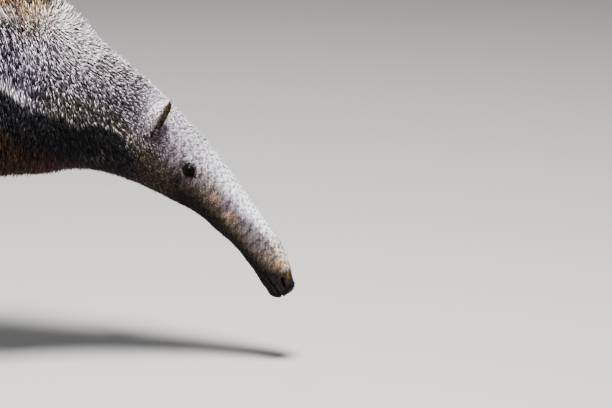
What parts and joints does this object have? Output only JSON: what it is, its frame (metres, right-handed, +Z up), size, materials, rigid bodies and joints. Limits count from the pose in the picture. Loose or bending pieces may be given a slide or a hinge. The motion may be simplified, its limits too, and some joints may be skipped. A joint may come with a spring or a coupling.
{
  "type": "giant anteater",
  "caption": "Life-size giant anteater standing in a slow step, long snout lowered, with a mane along the back and a long flag-shaped tail of hair.",
  "frame": {"origin": "on the floor, below the middle of the animal's bounding box", "axes": "+X towards the animal's snout, +Y to its left, +Z up"},
  "size_m": [1.9515, 0.3753, 0.6598],
  "materials": {
    "head_fur": "very short fur, grey-brown, darker at the end of the snout",
    "neck_fur": "coarse grizzled hair, dark with pale tips",
    "body_fur": "coarse long hair, grizzled brown with a black band bordered with white",
    "tail_hair": "long coarse hair, brown and grey",
    "foreleg_fur": "coarse pale hair with dark bands",
    "hindleg_fur": "coarse black-brown hair",
    "ear_fur": "thin skin with very short hair",
    "eye": "wet and dark",
    "claw": "horn, worn smooth"
  },
  "bodies": {
    "root": {"head": "head_fur", "neck": "neck_fur", "torso": "body_fur", "tail": "tail_hair", "leg_fore_left": "foreleg_fur", "leg_fore_right": "foreleg_fur", "leg_hind_left": "hindleg_fur", "leg_hind_right": "hindleg_fur", "ear_left": "ear_fur", "ear_right": "ear_fur", "eye_left": "eye", "eye_right": "eye", "claw_fore_left_1": "claw", "claw_fore_left_2": "claw", "claw_fore_left_3": "claw", "claw_fore_left_4": "claw", "claw_fore_right_1": "claw", "claw_fore_right_2": "claw", "claw_fore_right_3": "claw", "claw_fore_right_4": "claw", "claw_hind_left_1": "claw", "claw_hind_left_2": "claw", "claw_hind_left_3": "claw", "claw_hind_left_4": "claw", "claw_hind_left_5": "claw", "claw_hind_right_1": "claw", "claw_hind_right_2": "claw", "claw_hind_right_3": "claw", "claw_hind_right_4": "claw", "claw_hind_right_5": "claw"}
  },
  "joints": []
}
